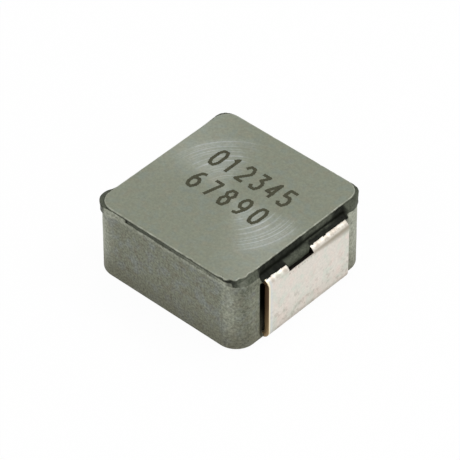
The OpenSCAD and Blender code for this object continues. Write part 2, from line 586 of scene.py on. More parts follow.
@dataclass(frozen=True)
class TinnedCopper:
    """Matt tin over a copper strip, with bare copper on the punched edges.

    Heights are in millimetres above the board. Places along the strip's width are
    counted the same way round at both ends, from -4 to 4.
    """

    name: str
    tin: Colour = (220, 214, 204)
    warm: Colour = (226, 212, 202)
    cool: Colour = (208, 212, 200)
    cut: Colour = (104, 80, 54)
    cut_low: Colour = (158, 132, 94)
    # Painted shadow on the punched edges round the window.
    cut_painted_shadow: Colour = (20, 13, 8)
    # Colour of the stains, and of the painted shade and dark reflection on the bends.
    stain_shade_and_reflection: Colour = (140, 130, 112)
    # Painted highlight line and bluish painted reflection along the rounded edge beside one cut
    # edge.
    line: Colour = (246, 232, 196)
    painted_edge_reflection: Colour = (206, 213, 216)
    edge_y: float = 3.85
    window_y: float = 0.6
    band_low: float = 4.72
    band_top: float = 4.85
    band_growth: float = 0.5
    bend_start: float = 4.8
    burr_low: float = 4.5
    foot_bend: float = 0.95
    metallic: float = 0.6
    roughness: float = 0.42
    relief: float = 0.003
    cut_metallic: float = 0.5
    cut_roughness: float = 0.5

    def make(self, effects: Effects) -> bpy.types.Material:
        """Build the tinned surface's material."""
        material, graph, shader = start_material(f"{self.name}_tin")
        place = graph.group(effects.place)
        clouds = effects.clouded(graph, place.outputs["Place"],
                                 (self.tin, self.warm, self.cool), 0.9, 0.8)
        grain = graph.group(effects.grain, Vector=place.outputs["Place"], Size=0.2,
                            Contrast=0.34)
        colour = graph.tint(clouds, grain.outputs["Shade"])
        colour = self._stains_and_painted_light(graph, place, colour)
        graph.put(shader.inputs["Base Color"], colour)
        shader.inputs["Metallic"].default_value = self.metallic
        shader.inputs["Roughness"].default_value = self.roughness
        graph.bump(shader, grain.outputs["Height"], self.relief)
        return material

    @staticmethod
    def _along(graph: Graph, place: bpy.types.Node) -> bpy.types.NodeSocket:
        """Return the place along the strip's width, the same way round at both ends."""
        x, y, _ = graph.split(place.outputs["Place"])
        return graph.maths("MULTIPLY", y, graph.maths("SIGN", x))

    def _stains_and_painted_light(self, graph: Graph, place: bpy.types.Node,
                colour: bpy.types.NodeSocket) -> bpy.types.NodeSocket:
        """Add stains, painted shade, a painted dark reflection and a painted highlight line.

        Args:
            graph: The material's graph.
            place: The node that gives the place on the object.
            colour: The colour to stain.

        Returns:
            The stained colour.
        """
        vector, height = place.outputs["Place"], place.outputs["Height"]
        along = self._along(graph, place)
        patchy = graph.step(graph.noise(vector, 2.2, 3.0, 0.6), 0.35, 0.65)
        # Painted shade on the lower bend, in patches.
        lower = graph.step(height, self.foot_bend, 0.2)
        stain_and_painted_dark = graph.maths("MULTIPLY", graph.maths("ADD", patchy, 0.5), lower)
        # Painted dark reflection under the upper bend.
        stain_and_painted_dark = graph.maths("MAXIMUM", graph.maths("MULTIPLY", stain_and_painted_dark, 0.7),
                           graph.maths("MULTIPLY", self._painted_reflection_band(graph, height, along), 0.8))
        bend = graph.maths("MULTIPLY", graph.step(height, self.bend_start, 5.0), 0.5)
        bend = graph.maths("MULTIPLY", bend, patchy)
        bend = graph.maths("MAXIMUM", bend, self._burr(graph, vector, height, along))
        stain_and_painted_dark = graph.maths("MAXIMUM", stain_and_painted_dark, bend)
        spots = graph.step(graph.noise(vector, 2.2, 3.0, 0.6), 0.5, 0.68)
        spots = graph.maths("MULTIPLY", spots, graph.step(height, 3.9, 1.6))
        stain_and_painted_dark = graph.maths("MAXIMUM", stain_and_painted_dark, graph.maths("MULTIPLY", spots, 0.36))
        # Darker towards the bottom of the strip.
        lower_darkening = graph.maths("MULTIPLY", graph.step(height, 2.2, 0.9), 0.16)
        stain_and_painted_dark = graph.maths("ADD", stain_and_painted_dark, lower_darkening)
        colour = graph.mix(stain_and_painted_dark, colour, srgb(*self.stain_shade_and_reflection))
        # Bluish painted reflection and a painted highlight line along one rounded edge.
        edge = graph.maths("ADD", along, self.edge_y)
        painted_edge_reflection = graph.maths("MULTIPLY", graph.step(edge, 0.5, 0.2), 0.5)
        colour = graph.mix(painted_edge_reflection, colour, srgb(*self.painted_edge_reflection))
        line = graph.maths("MULTIPLY", graph.step(edge, 0.17, 0.1), 0.8)
        return graph.mix(line, colour, srgb(*self.line))

    def _painted_reflection_band(self, graph: Graph, height: bpy.types.NodeSocket,
              along: bpy.types.NodeSocket) -> bpy.types.NodeSocket:
        """Return the painted dark reflection in a band under the upper bend, widening along the
        strip.
        """
        growth = graph.maths("MULTIPLY", graph.step(along, -1.0, 4.2), self.band_growth)
        start = graph.maths("SUBTRACT", self.band_low, growth)
        band = graph.maths("MULTIPLY", graph.step(height, start, self.band_top),
                           graph.step(height, 5.05, 4.84))
        return graph.maths("MULTIPLY", band, graph.step(along, -5.5, 3.0))

    def _burr(self, graph: Graph, vector: bpy.types.NodeSocket, height: bpy.types.NodeSocket,
              along: bpy.types.NodeSocket) -> bpy.types.NodeSocket:
        """Return the flecks along the lower edge of the punched window."""
        aside = graph.maths("ABSOLUTE", graph.maths("ADD", along, self.window_y))
        burr = graph.maths("MULTIPLY", graph.step(aside, 1.5, 1.25),
                           graph.step(height, self.burr_low, 4.62))
        fleck = graph.step(graph.noise(vector, 7.0, 1.0), 0.44, 0.7)
        return graph.maths("MULTIPLY", graph.maths("MULTIPLY", burr, fleck), 0.6)

    def make_cut(self, effects: Effects) -> bpy.types.Material:
        """Build the punched edges' material."""
        material, graph, shader = start_material(f"{self.name}_cut")
        place = graph.group(effects.place)
        grain = graph.group(effects.grain, Vector=place.outputs["Place"], Size=0.08,
                            Contrast=0.8)
        lower = graph.step(place.outputs["Height"], 3.6, 0.6)
        copper = graph.mix(lower, srgb(*self.cut), srgb(*self.cut_low))
        aside = graph.maths("ADD", self._along(graph, place), self.window_y)
        # Painted shadow on the punched edges round the window.
        in_window = graph.step(graph.maths("ABSOLUTE", aside), 1.6, 1.3)
        copper = graph.mix(in_window, copper, srgb(*self.cut_painted_shadow))
        graph.put(shader.inputs["Base Color"], graph.tint(copper, grain.outputs["Shade"]))
        shader.inputs["Metallic"].default_value = self.cut_metallic
        shader.inputs["Roughness"].default_value = self.cut_roughness
        return material


@dataclass(frozen=True)
class PlainFinish:
    """A finish of one clouded colour, with plain values for the shader's sockets."""

    name: str
    base: Colour
    dark: Colour
    cloud_size: float
    cloud_amount: float
    values: tuple[tuple[str, float], ...]

    def make(self, effects: Effects) -> bpy.types.Material:
        """Build the material."""
        material, graph, shader = start_material(self.name)
        place = graph.group(effects.place)
        clouds = effects.clouded(graph, place.outputs["Place"], (self.base, self.dark, self.base),
                                 self.cloud_size, self.cloud_amount)
        graph.put(shader.inputs["Base Color"], clouds)
        for socket, value in self.values:
            shader.inputs[socket].default_value = value
        return material


ENAMELLED_COPPER = PlainFinish(
    "enamelled_copper", (176, 98, 52), (140, 66, 34), 0.9, 0.5,
    (("Metallic", 0.8), ("Roughness", 0.3), ("Coat Weight", 0.6)))
LASER_MARK = PlainFinish(
    "laser_mark", (66, 66, 49), (50, 48, 35), 0.25, 0.8,
    (("Roughness", 0.75), ("Specular IOR Level", 0.25)))


# ---- The pressed block ---------------------------------------------------------------


@dataclass(frozen=True)
class Mark:
    """A bell-shaped mark: where its middle is, how wide it is and how strong or deep."""

    centre: float
    width: float
    size: float

    def at(self, value: np.ndarray) -> np.ndarray:
        """Return the mark's strength at each angle, place or height."""
        return bump_at(value, self.centre, self.width) * self.size


@dataclass(frozen=True)
class Ring:
    """A rectangle with round corners, seen from above, in millimetres."""

    half_x: float
    half_y: float
    radius: float

    def inset(self, depth: float) -> Ring:
        """Return the ring moved in by depth on every side."""
        return Ring(self.half_x - depth, self.half_y - depth,
                    max(self.radius - depth, 0.05))

    def trace(self, corner_steps: int, side_steps: int) -> tuple[np.ndarray, np.ndarray]:
        """Walk round the ring.

        Args:
            corner_steps: Pieces in each corner's arc.
            side_steps: Pieces in each straight side.

        Returns:
            The points and the outward normals, both of shape (count, 2).
        """
        points: list[tuple[float, float]] = []
        normals: list[tuple[float, float]] = []
        corners = [(1, 1), (-1, 1), (-1, -1), (1, -1)]
        for index, (sx, sy) in enumerate(corners):
            centre = np.array([sx * (self.half_x - self.radius),
                               sy * (self.half_y - self.radius)])
            for step in range(corner_steps + 1):
                angle = math.radians(90.0 * (index + step / corner_steps))
                normal = np.array([math.cos(angle), math.sin(angle)])
                points.append(tuple(centre + self.radius * normal))
                normals.append(tuple(normal))
            after = corners[(index + 1) % 4]
            target = np.array([after[0] * (self.half_x - self.radius),
                               after[1] * (self.half_y - self.radius)])
            target = target + self.radius * normal
            start = np.array(points[-1])
            for step in range(1, side_steps):
                share = step / side_steps
                points.append(tuple(start + (target - start) * share))
                normals.append(tuple(normal))
        return np.array(points), np.array(normals)


@dataclass(frozen=True)
class Relief:
    """The shallow channel in each end wall, in which the strip comes down."""

    wall_x: float
    depth: float = 0.3
    half_width: float = 4.12
    offset: float = 0.15
    slant: float = 48.0

    def beyond(self, flat: np.ndarray) -> tuple[np.ndarray, np.ndarray]:
        """Return how far points lie beyond the channel's sides, and which are at an end."""
        beside = np.abs(flat[:, 1] * np.sign(flat[:, 0]) - self.offset) - self.half_width
        return beside, np.abs(flat[:, 0]) > self.wall_x - 2.0 * self.depth

    def carve(self, flat: np.ndarray) -> np.ndarray:
        """Move the points that stand in the channel back to its floor or sides.

        Args:
            flat: Wall points of shape (columns, 2).

        Returns:
            The points with the channel cut in both ends.
        """
        carved = flat.copy()
        beyond, on_end = self.beyond(flat)
        reach = self.wall_x - self.depth
        reach = reach + np.clip(beyond, 0.0, None) / math.tan(math.radians(self.slant))
        moved = np.sign(flat[:, 0]) * np.minimum(np.abs(flat[:, 0]), reach)
        carved[:, 0] = np.where(on_end, moved, flat[:, 0])
        return carved

    def inside(self, flat: np.ndarray) -> np.ndarray:
        """Return 1 for points in the channel, 0 for points well outside it."""
        beyond, on_end = self.beyond(flat)
        return np.where(on_end, 1.0 - smooth(0.05, 0.32, beyond), 0.0)


@dataclass
class Skin:
    """Rows of points that make up the block's surface, from the underside to the top face.

    Each row holds its points, its share of raw powder and painted shade, and how far wear and
    painted highlight make it bright.
    """

    count: int
    points: list[np.ndarray] = field(default_factory=list)
    raw_and_shade: list[np.ndarray] = field(default_factory=list)
    wear_and_painted_light: list[np.ndarray] = field(default_factory=list)

    def add(self, flat: np.ndarray, height: np.ndarray | float,
            share: np.ndarray | float = 0.0, wear_and_highlight: np.ndarray | float = 0.0) -> None:
        """Add a row.

        Args:
            flat: The row's places, of shape (columns, 2).
            height: Its height above the board.
            share: Its share of raw powder and of painted shade.
            wear_and_highlight: How far wear and painted highlight make it bright.
        """
        shape = (self.count,)
        self.points.append(np.column_stack([flat, np.broadcast_to(height, shape)]))
        self.raw_and_shade.append(np.broadcast_to(share, shape))
        self.wear_and_painted_light.append(np.broadcast_to(wear_and_highlight, shape))


@dataclass
class PowderBlock:
    """The block of pressed powder: its burnished walls, raw band, rim and top face.

    The near corner is the one at +X and -Y, the left one at -X and -Y, the back one at
    -X and +Y, the right one at +X and +Y. Marks at corners are placed by angle in
    degrees, the nick's painted shade and the seam by X and the lip's painted shade by
    height in millimetres.
    """

    outline: Outline
    finish: PressedPowder
    wall_draft: float = 0.04
    shoulder_drop: float = 0.42
    end_lean: float = 0.32
    corner_radius: float = 1.55
    rim_radius: float = 0.97
    foot_break: float = 0.1
    top_step: float = 0.11
    end_ledge: float = 0.1
    side_ledge: float = 0.06
    top_radius: float = 1.2
    side_band: float = 0.25
    corner_band: float = 0.42
    end_band: float = 0.9
    deep_corners: tuple[Mark, ...] = (Mark(-134.0, 8.0, 0.4), Mark(40.0, 7.0, 0.35))
    band_depth: float = 0.05
    band_margin: float = 0.02
    nick_shade: Mark = Mark(-3.45, 0.1, 0.9)
    seam: Mark = Mark(5.1, 0.05, 0.5)
    # Painted glint on the top face's edge at the seam.
    seam_glint: Mark = Mark(5.1, 0.22, 2.0)
    crescent: Mark = Mark(-66.0, 20.0, 0.75)
    # Painted light on the near corner's wall.
    near_painted_light: Mark = Mark(-66.0, 22.0, 0.45)
    # Painted shade on the near corner's wall and on its lip.
    near_painted_shade: Mark = Mark(-24.0, 19.0, 0.75)
    lip_painted_shade: Mark = Mark(5.35, 0.4, 0.9)
    # Painted glint on the band at the near corner.
    glint_near: Mark = Mark(-30.0, 13.0, 0.26)
    window_y: float = -0.6
    window_half: float = 1.2
    lump_top: float = 5.3
    lump_reach: float = 0.36
    near_centre: tuple[float, float] = (5.03, -4.9)
    near_start: tuple[float, float] = (5.0, -3.9)
    left_flash: tuple[float, float] = (-135.0, 0.17)
    flashes: tuple[Mark, ...] = (Mark(137.0, 6.0, 0.06), Mark(44.0, 6.0, 0.1))
    chips: tuple[Mark, ...] = (Mark(-52.0, 1.3, 0.1), Mark(-47.5, 1.3, 0.13),
                               Mark(-43.0, 1.3, 0.12), Mark(-38.0, 1.3, 0.08))
    band_darkness: float = 0.14
    channel_darkness: float = 0.88
    channel_light: float = 0.62
    lit_start: tuple[float, float] = (0.1, 0.7)
    lit_end: tuple[float, float] = (2.9, 3.6)
    stripe_lift: float = 0.25
    stripe_width: float = 0.16
    window_light: float = 0.85
    crescent_start: float = 4.6
    corner_steps: int = 34
    side_steps: int = 126
    wall_rows: int = 34
    band_rows: int = 14
    top_rows: int = 14

    @property
    def rim_height(self) -> float:
        """Height of the rim, where the ledge round the top face lies."""
        return self.outline.top - self.top_step

    @property
    def relief(self) -> Relief:
        """The channel in the end walls."""
        return Relief(self.outline.block_high.x)

    def foot_ring(self) -> Ring:
        """Return the ring of the block's foot."""
        return Ring(self.outline.block_high.x, self.outline.block_high.y, self.corner_radius)

    def shoulder_ring(self) -> Ring:
        """Return the ring at which the end walls start to lean in."""
        return Ring(self.outline.block_high.x - self.wall_draft,
                    self.outline.block_high.y, self.corner_radius)

    def rim_ring(self) -> Ring:
        """Return the ring of the block's rim."""
        return Ring(self.outline.block_high.x - self.end_lean,
                    self.outline.block_high.y, self.rim_radius)

    def top_ring(self) -> Ring:
        """Return the ring round the raised top face."""
        rim = self.rim_ring()
        return Ring(rim.half_x - self.end_ledge, rim.half_y - self.side_ledge,
                    self.top_radius)

    def trace(self, ring: Ring) -> tuple[np.ndarray, np.ndarray]:
        """Walk round a ring with the block's own number of columns."""
        return ring.trace(self.corner_steps, self.side_steps)

    def wall_at(self, height: np.ndarray) -> tuple[np.ndarray, np.ndarray]:
        """Return the wall's points and normals at one height for each column.

        Args:
            height: Height above the board of each column's point.

        Returns:
            Points and normals, both of shape (columns, 2).
        """
        foot, normals = self.trace(self.foot_ring())
        middle, _ = self.trace(self.shoulder_ring())
        rim, _ = self.trace(self.rim_ring())
        low = self.outline.underside + self.foot_break
        shoulder = self.rim_height - self.shoulder_drop
        up = np.clip((height - low) / (shoulder - low), 0.0, 1.0)[:, None]
        over = np.clip((height - shoulder) / self.shoulder_drop, 0.0, 1.0)[:, None]
        flat = foot + (middle - foot) * up + (rim - middle) * over
        return self.relief.carve(flat), normals

    def band_edge(self) -> np.ndarray:
        """Return the height of the raw band's lower edge at each column."""
        places, normals = self.trace(self.shoulder_ring())
        toward_corner = smooth(0.2, 0.8, np.abs(normals[:, 0]))
        deep = self.relief.inside(places)
        drop = self.side_band + (self.corner_band - self.side_band) * toward_corner
        drop = drop + (self.end_band - self.corner_band) * deep
        angle = angle_round(places)
        for mark in self.deep_corners:
            drop = drop + mark.at(angle)
        solid = np.column_stack([places, np.zeros(len(places))])
        drop = drop + 0.04 * rough(solid, 0.9, 1.0, 2) + 0.02 * rough(solid, 0.22, 2.0)
        return self.rim_height - drop

    def near_corner(self, flat: np.ndarray,
                    start_x: float | None = None) -> tuple[np.ndarray, np.ndarray]:
        """Return each point's angle round the near corner, and which points stand at it.

        Args:
            flat: Places of shape (columns, 2).
            start_x: Where the corner starts in X, when it isn't at its own start.

        Returns:
            The angles in degrees, with -90 on the -Y side, and a mask.
        """
        start = self.near_start[0] if start_x is None else start_x
        near = (flat[:, 0] > start) & (flat[:, 1] < self.near_start[1])
        return angle_round(flat, *self.near_centre), near

    def darkness(self, flat: np.ndarray, height: np.ndarray) -> np.ndarray:
        """Return how far the raw powder is darkened towards black, mostly as painted shade, from 0
        to 1.
        """
        deep = self.relief.inside(flat)
        local_y = flat[:, 1] * np.sign(flat[:, 0])
        # Painted light across part of each end channel.
        lit = smooth(*self.lit_start, local_y) * (1.0 - smooth(*self.lit_end, local_y))
        solid = np.column_stack([flat, height])
        patches = 0.3 * rough(solid, 0.42, 21.0, 3)
        # Painted shade in the end channel above the strip, in patches.
        upper = self.channel_darkness - self.channel_light * lit + patches * (0.5 + lit)
        # A painted shadow line above the powder over the strip's root.
        stripe = bump_at(height, self.lump_top + self.stripe_lift, self.stripe_width)
        inner = upper + (1.0 - upper) * stripe
        # Painted shade just above the strip, and black painted shadow under the powder over it.
        inner = np.where(height < self.lump_top + 0.03, 0.93 + 0.5 * patches, inner)
        inner = np.where(height < self.lump_top - 0.3, 1.0, inner)
        # Less painted shade on the powder in the strip's window, as painted light.
        window = smooth(0.02, 0.1, self.lump(flat, height)) * self.in_window(flat)
        inner = inner * (1.0 - self.window_light * window)
        # Painted shade of a small nick in the band on the -Y side.
        nick_shade = self.nick_shade.at(flat[:, 0]) * (flat[:, 1] < 0.0)
        angle, near = self.near_corner(flat, self.crescent_start)
        crescent = self.crescent.at(angle) * (1.0 - deep)
        edge = self.band_darkness + np.where(near, crescent - 0.1 * (angle > -45.0), 0.0)
        return np.clip(edge + nick_shade + deep * (inner - edge), 0.0, 1.0)

    def painted_light_on_walls(self, flat: np.ndarray, height: np.ndarray) -> np.ndarray:
        """Return the painted light that makes the walls paler at the left, near and right corners.
        """
        along = (1.0 - smooth(-6.2, -4.2, flat[:, 0])) * (flat[:, 1] < 0.0)
        angle, near = self.near_corner(flat)
        corner = self.near_painted_light.at(angle) * smooth(0.4, 2.0, height)
        far = 0.8 * (flat[:, 0] > self.near_start[0]) * smooth(4.3, 4.6, flat[:, 1])
        return 1.1 * along * bump_at(height, 3.3, 2.7) + np.where(near, corner, far)

    def corner_shade_and_seam(self, flat: np.ndarray, height: np.ndarray) -> np.ndarray:
        """Return the painted shade on the near corner's wall and lip, and the die's dark seam
        beside it.
        """
        angle, near = self.near_corner(flat)
        about = self.near_painted_shade.at(angle) + 0.25 * (1.0 - smooth(0.4, 2.6, height))
        about = about + self.lip_painted_shade.at(height) * smooth(-75.0, -50.0, angle)
        seam = self.seam.at(flat[:, 0]) * (flat[:, 1] < 0.0)
        return np.where(near, about, 0.0) + seam

    def in_window(self, flat: np.ndarray) -> np.ndarray:
        """Return 1 for wall points that the strip's window leaves open."""
        beside = np.abs(flat[:, 1] * np.sign(flat[:, 0]) - self.window_y) - self.window_half
        return 1.0 - smooth(-0.12, 0.04, beside)

    def presence(self, flat: np.ndarray, normals: np.ndarray) -> np.ndarray:
        """Return where the raw band shows; the die has rubbed it away on part of a side."""
        # Where the band is rubbed away the rows are also lighter, partly as wear and partly as
        # painted highlight.
        wear_and_highlight = smooth(-5.5, -5.2, flat[:, 0]) * (1.0 - smooth(-3.62, -3.5, flat[:, 0]))
        wear_and_highlight = wear_and_highlight + smooth(4.6, 5.1, flat[:, 0]) * (1.0 - smooth(5.3, 5.7, flat[:, 0]))
        wear_and_highlight = wear_and_highlight + 0.45 * smooth(-1.0, 4.5, flat[:, 0])
        return 1.0 - np.clip(wear_and_highlight, 0.0, 1.0) * (normals[:, 1] < -0.8)

    def lump(self, flat: np.ndarray, height: np.ndarray) -> np.ndarray:
        """Return how far powder stands out over the strip's root and in its window."""
        over = 1.0 - smooth(self.lump_top - 0.03, self.lump_top + 0.05, height)
        low = self.lump_top - 0.2 - 0.45 * self.in_window(flat)
        under = smooth(-0.1, 0.05, height - low)
        return self.lump_reach * self.relief.inside(flat) * over * under

    def corner_flash(self, flat: np.ndarray) -> np.ndarray:
        """Return how far flash stands out of the band at the corners."""
        angle = angle_round(flat)
        centre, reach = self.left_flash
        flash = smooth(10.0, 4.0, np.abs(angle - centre)) * reach
        for mark in self.flashes:
            flash = flash + mark.at(angle)
        return flash

    def rows(self) -> Skin:
        """Lay out the skin from the middle of the underside to that of the top face."""
        skin = Skin(4 * (self.corner_steps + self.side_steps))
        self.add_underside(skin)
        edge = self.band_edge()
        self.add_walls(skin, edge)
        self.add_band(skin, edge)
        self.add_ledge(skin)
        return skin

    def add_underside(self, skin: Skin) -> None:
        """Add the underside and the broken edge round it."""
        under = self.outline.underside
        foot = self.foot_ring()
        inner, _ = self.trace(foot.inset(self.foot_break))
        for scale in (0.02, 0.3, 0.6, 0.85, 0.97):
            skin.add(inner * scale, under)
        for step in range(5):
            angle = math.radians(90.0 * step / 4)
            flat, _ = self.trace(foot.inset(self.foot_break * (1.0 - math.sin(angle))))
            skin.add(flat, under + self.foot_break * (1.0 - math.cos(angle)))

    def add_walls(self, skin: Skin, edge: np.ndarray) -> None:
        """Add the burnished walls, up to the lip under the raw band.

        Args:
            skin: The rows so far.
            edge: Height of the band's lower edge at each column.
        """
        low = self.outline.underside + self.foot_break
        for step in range(1, self.wall_rows + 1):
            share = (step / self.wall_rows) ** 0.85
            height = low + (edge - low) * share
            flat, normals = self.wall_at(height)
            solid = np.column_stack([flat, height])
            wave = 0.006 * rough(solid, 1.1, 3.0) + 0.004 * rough(solid, 0.3, 4.0)
            lip = 0.02 * smooth(0.93, 1.0, np.full(skin.count, share))
            deep = self.relief.inside(flat)
            out = (wave + lip) * (1.0 - deep) + self.lump(flat, height)
            # Painted highlight on the lip under the band, and painted light on the pale corners.
            lip_light = smooth(0.95, 1.0, np.full(skin.count, share))
            lip_light = lip_light * (0.8 - 0.65 * smooth(5.2, 6.0, flat[:, 0]))
            bright = lip_light * (1.0 + rough(solid, 0.5, 12.0)) + self.painted_light_on_walls(flat, height)
            # Raw powder in the channels, and painted shade on the near corner through the raw
            # share.
            shade = np.maximum(deep, 0.38 * self.corner_shade_and_seam(flat, height))
            skin.add(flat + normals * out[:, None], height, shade, bright * (1.0 - deep))

    def add_band(self, skin: Skin, edge: np.ndarray) -> None:
        """Add the band of raw powder under the rim.

        Args:
            skin: The rows so far.
            edge: Height of the band's lower edge at each column.
        """
        start = edge + self.band_margin
        for step in range(self.band_rows + 1):
            share = step / self.band_rows
            height = start + (self.rim_height - 0.03 - edge - self.band_margin) * share
            flat, normals = self.wall_at(height)
            solid = np.column_stack([flat, height])
            lumps = 0.022 * rough(solid, 0.35, 5.0, 2) + 0.01 * rough(solid, 0.12, 6.0)
            shown = self.presence(flat, normals)
            depth = (lumps - self.band_depth) * shown + self.corner_flash(flat)
            depth = depth + self.lump(flat, height)
            # Lighter where the band is worn away, with a painted glint at the near corner.
            bright = (1.0 - shown) * (0.55 + 0.6 * rough(solid, 0.4, 14.0, 2))
            angle, near = self.near_corner(flat)
            bright = bright + np.where(near, self.glint_near.at(angle), 0.0)
            skin.add(flat + normals * depth[:, None], height, shown, bright)

    def add_ledge(self, skin: Skin) -> None:
        """Add the rim, the ledge, the step and the top face."""
        rim_flat, normals = self.trace(self.rim_ring())
        top_flat, top_normals = self.trace(self.top_ring())
        solid = np.column_stack([rim_flat, np.full(skin.count, self.rim_height)])
        flash = self.corner_flash(rim_flat)
        ragged = 0.02 * rough(solid, 0.3, 7.0, 2)
        shown = self.presence(rim_flat, normals)
        skin.add(rim_flat + normals * (flash + (ragged - 0.05) * shown)[:, None],
                 self.rim_height - 0.01 + ragged * 0.4 + 0.75 * flash, shown,
                 (1.0 - shown) * 0.5)
        for share in (0.35, 0.75):
            flat = rim_flat + (top_flat - rim_flat) * share
            flat = flat + normals * (flash * (1.0 - share))[:, None]
            lift = 0.012 * rough(np.column_stack([flat, solid[:, 2]]), 0.25, 8.0, 2)
            lift = lift + 0.6 * flash * (1.0 - share)
            skin.add(flat, self.rim_height + lift, 1.0)
        bite = self.edge_bites(top_flat)
        skin.add(top_flat - top_normals * bite[:, None], self.rim_height + 0.01, 1.0)
        top = self.outline.top
        edge = np.column_stack([top_flat, np.full(skin.count, top)])
        # Painted highlight along the top face's edge, with a painted glint at the seam.
        bright = np.clip(0.65 + 0.8 * rough(edge, 0.6, 15.0, 2), 0.0, 1.0)
        glint = self.seam_glint.at(top_flat[:, 0]) * (top_flat[:, 1] < 0.0)
        bright = np.clip(bright + glint, 0.0, 2.0)
        for inward, drop, share in ((0.004, 0.03, 0.3), (0.012, 0.008, 0.0), (0.03, 0.0, 0.0)):
            skin.add(top_flat - top_normals * (bite + inward)[:, None], top - drop, share, bright)
        skin.add(top_flat - top_normals * (bite + 0.09)[:, None], top)
        for step in range(1, self.top_rows + 1):
            share = (step / self.top_rows) ** 1.6
            skin.add(top_flat * (0.975 * (1.0 - share) + 0.01), top)

    def edge_bites(self, flat: np.ndarray) -> np.ndarray:
        """Return how far chips bite into the top face's edge at each column."""
        solid = np.column_stack([flat, np.zeros(len(flat))])
        small = np.clip(rough(solid, 0.5, 9.0, 2) - 0.25, 0.0, 1.0) * 0.06
        angle = angle_round(flat)
        return small + sum(chip.at(angle) for chip in self.chips)

    def build(self) -> bpy.types.Object:
        """Build the skin as one closed mesh that keeps its raw powder and painted shade, its wear
        and painted light, and its darkening, which is mostly painted shade.

        Returns:
            The block's object.
        """
        skin = self.rows()
        rows, count = len(skin.points), skin.count
        faces = [(row * count + col, row * count + (col + 1) % count,
                  (row + 1) * count + (col + 1) % count, (row + 1) * count + col)
                 for row in range(rows - 1) for col in range(count)]
        faces.append(tuple(reversed(range(count))))
        faces.append(tuple((rows - 1) * count + col for col in range(count)))
        mesh = bpy.data.meshes.new("moulded_block")
        mesh.from_pydata((np.concatenate(skin.points) * MM).tolist(), [], faces)
        mesh.validate()
        dark = [self.darkness(row[:, :2], row[:, 2]) for row in skin.points]
        for name, values in (("raw_and_shade", skin.raw_and_shade), ("wear_and_painted_light", skin.wear_and_painted_light), ("dark", dark)):
            attribute = mesh.attributes.new(name, "FLOAT", "POINT")
            attribute.data.foreach_set("value", np.concatenate(values).astype(np.float32))
        mesh.shade_smooth()
        return new_object("moulded_block", mesh)

    def dress(self, block: bpy.types.Object, effects: Effects) -> None:
        """Give the walls and the top face their own finishes."""
        block.data.materials.append(self.finish.make(effects, Face.WALL))
        block.data.materials.append(self.finish.make(effects, Face.TOP))
        limit = (self.outline.top - 0.02) * MM
        for polygon in block.data.polygons:
            if polygon.center.z > limit and polygon.normal.z > 0.9:
                polygon.material_index = 1


# ---- The terminal strips -------------------------------------------------------------


